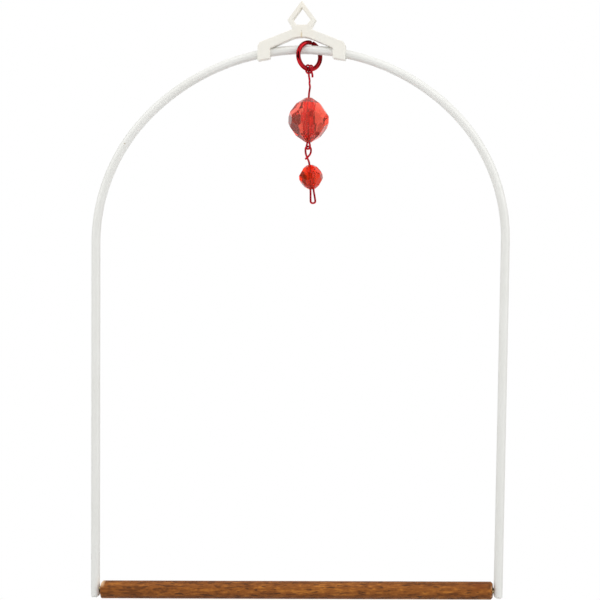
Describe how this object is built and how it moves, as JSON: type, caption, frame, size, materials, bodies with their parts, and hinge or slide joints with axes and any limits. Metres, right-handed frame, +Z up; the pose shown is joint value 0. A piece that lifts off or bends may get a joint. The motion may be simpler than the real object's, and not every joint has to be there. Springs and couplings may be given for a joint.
{
  "type": "bird cage swing",
  "caption": "Small hanging swing for a pet bird: a white coated rod arch with a clipped-on hanger, a stained wooden perch rolling between its legs, and a red bead toy on a ring below the top.",
  "frame": {"origin": "the top of the hanger's eye, where a hook bears", "axes": "+Z up, +X to the right of someone facing the front, -Y towards the front"},
  "size_m": [0.2344, 0.0228, 0.3346],
  "materials": {
    "white_coat": "smooth white coating, satin",
    "hanger_plastic": "warm white moulded plastic, matte",
    "pin_brass": "plain metal, slightly dull",
    "stained_wood": "brown stain with fine grain, matte",
    "ring_red": "deep red, glossy",
    "wire_red": "red enamel, glossy",
    "bead_red": "clear red, polished facets"
  },
  "bodies": {
    "frame": {"arch_frame": "white_coat", "hanger": "hanger_plastic", "left_pivot_pin": "pin_brass", "right_pivot_pin": "pin_brass"},
    "perch": {"perch": "stained_wood"},
    "ring": {"ring": "ring_red"},
    "upper_link": {"upper_wire": "wire_red"},
    "large_bead": {"large_bead": "bead_red"},
    "lower_link": {"lower_wire": "wire_red"},
    "small_bead": {"small_bead": "bead_red"}
  },
  "joints": [
    {"name": "perch_roll", "type": "hinge", "parent": "frame", "child": "perch", "pos_m": [0, 0, -0.32554], "axis": [1, 0, 0], "continuous": true},
    {"name": "ring_swing", "type": "hinge", "parent": "frame", "child": "ring", "pos_m": [0.0041, 0, -0.02337], "axis": [0.9994, 0, -0.0342], "range_deg": [-75, 15]},
    {"name": "upper_wire_swing", "type": "hinge", "parent": "ring", "child": "upper_link", "pos_m": [0.0041, 0, -0.0343], "axis": [0.7389, 0.6739, 0], "range_deg": [-70, 70]},
    {"name": "large_bead_spin", "type": "hinge", "parent": "upper_link", "child": "large_bead", "pos_m": [0.0041, 0, -0.0629], "axis": [0, 0, 1], "continuous": true},
    {"name": "lower_wire_swing", "type": "hinge", "parent": "upper_link", "child": "lower_link", "pos_m": [0.0041, 0, -0.0792], "axis": [0.6739, -0.7389, 0], "range_deg": [-60, 60]},
    {"name": "small_bead_spin", "type": "hinge", "parent": "lower_link", "child": "small_bead", "pos_m": [0.00578, 0, -0.09506], "axis": [-0.0941, 0, 0.9956], "continuous": true}
  ]
}
